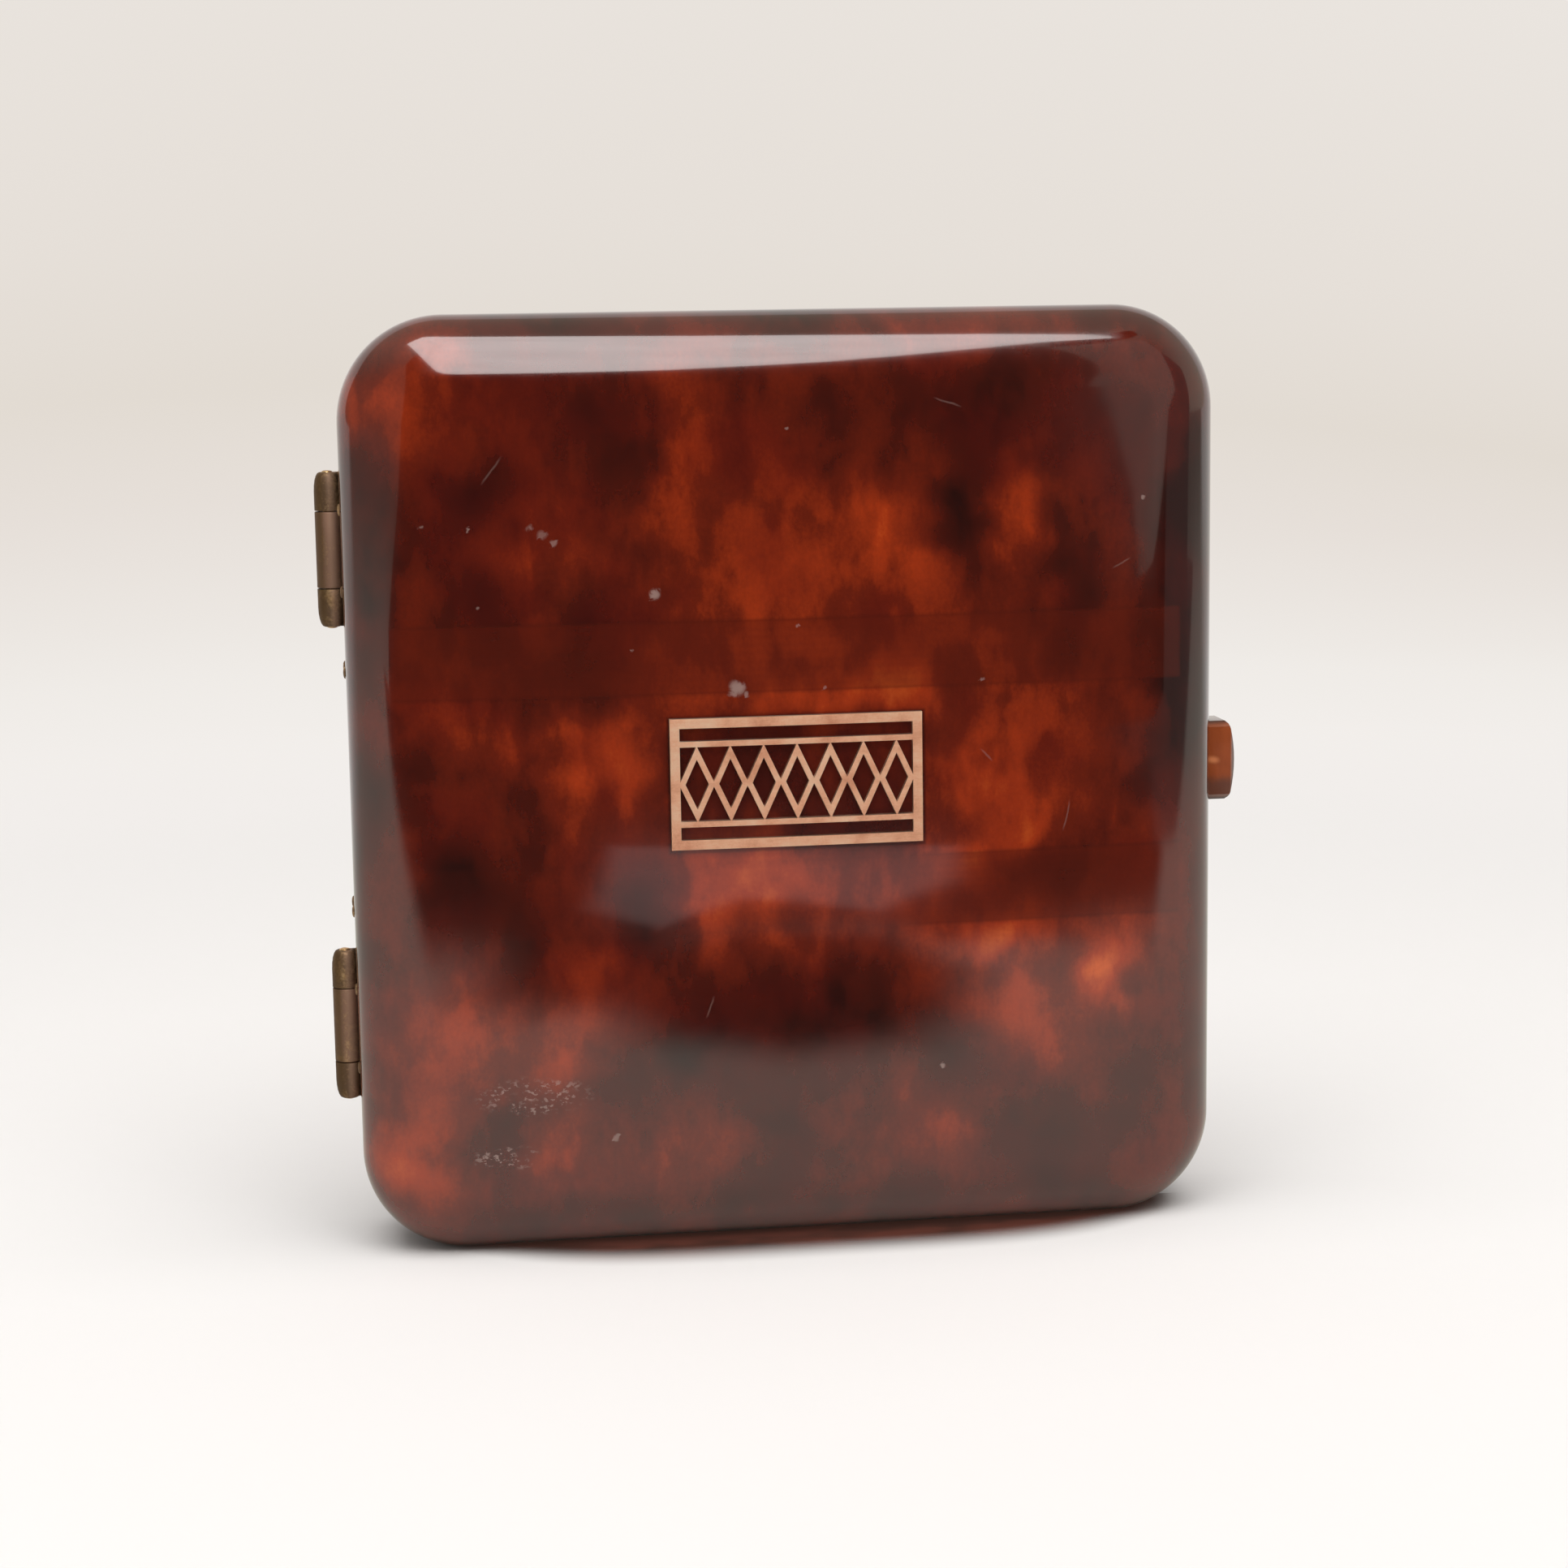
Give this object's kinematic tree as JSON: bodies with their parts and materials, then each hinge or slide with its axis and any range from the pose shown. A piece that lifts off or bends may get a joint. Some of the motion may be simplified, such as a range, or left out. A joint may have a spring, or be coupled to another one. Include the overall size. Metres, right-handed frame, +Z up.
{
  "type": "cigarette case",
  "caption": "Slim hinged case with cushion-shaped mottled halves, side hinges, a push-button catch, elastic retaining straps and a small openwork plaque.",
  "frame": {"origin": "middle of the lowest face of the part's box: under the middle of the case's width and thickness, hinges, button and badge included, level with the edge that it stands on", "axes": "+X towards the push button, -Y out of the front face that carries the badge, +Z up, from the lower edge to the upper"},
  "size_m": [0.083, 0.0186, 0.0835],
  "materials": {
    "tortoise_shell": "polished celluloid, mottled from dark mahogany to orange red",
    "amber_button": "polished celluloid, lighter orange brown",
    "elastic_strap": "woven elastic ribbon, brown, faded",
    "aged_brass": "brass with brown tarnish, rubbed on the high spots",
    "hinge_pin_brass": "drawn brass, slightly tarnished",
    "rivet_brass": "brass, dull",
    "catch_brass": "bent brass sheet, satin",
    "spring_steel": "blued strip, satin",
    "rose_gilt": "rose gilt sheet, pierced, satin"
  },
  "bodies": {
    "back_half": {"back_shell": "tortoise_shell", "locating_lip": "tortoise_shell", "upper_hinge_back_leaf": "aged_brass", "lower_hinge_back_leaf": "aged_brass", "upper_hinge_pin": "hinge_pin_brass", "lower_hinge_pin": "hinge_pin_brass", "hinge_rivets_back": "rivet_brass", "back_upper_strap": "elastic_strap", "back_lower_strap": "elastic_strap", "strap_clamps_back": "catch_brass", "strap_rivets_back": "rivet_brass", "catch_housing": "catch_brass", "catch_spring": "spring_steel", "catch_rivets": "rivet_brass"},
    "front_half": {"front_shell": "tortoise_shell", "upper_hinge_front_leaf": "aged_brass", "lower_hinge_front_leaf": "aged_brass", "hinge_rivets_front": "rivet_brass", "front_upper_strap": "elastic_strap", "front_lower_strap": "elastic_strap", "strap_clamps_front": "catch_brass", "strap_rivets_front": "rivet_brass", "keeper": "catch_brass", "keeper_rivets": "rivet_brass", "badge": "rose_gilt"},
    "catch": {"push_button": "amber_button", "button_plate": "catch_brass", "button_pins": "rivet_brass", "catch_hook": "catch_brass"}
  },
  "joints": [
    {"name": "lid_hinge", "type": "hinge", "parent": "back_half", "child": "front_half", "pos_m": [-0.04035, 0.00026, 0.04175], "axis": [0, 0, -1], "range_deg": [0, 180]},
    {"name": "button_press", "type": "slide", "parent": "back_half", "child": "catch", "axis": [-1, 0, 0], "range_m": [0, 0.001], "stiffness_N_per_m": 2000, "springref_m": -0.0005, "deforming": ["catch_spring"]}
  ]
}
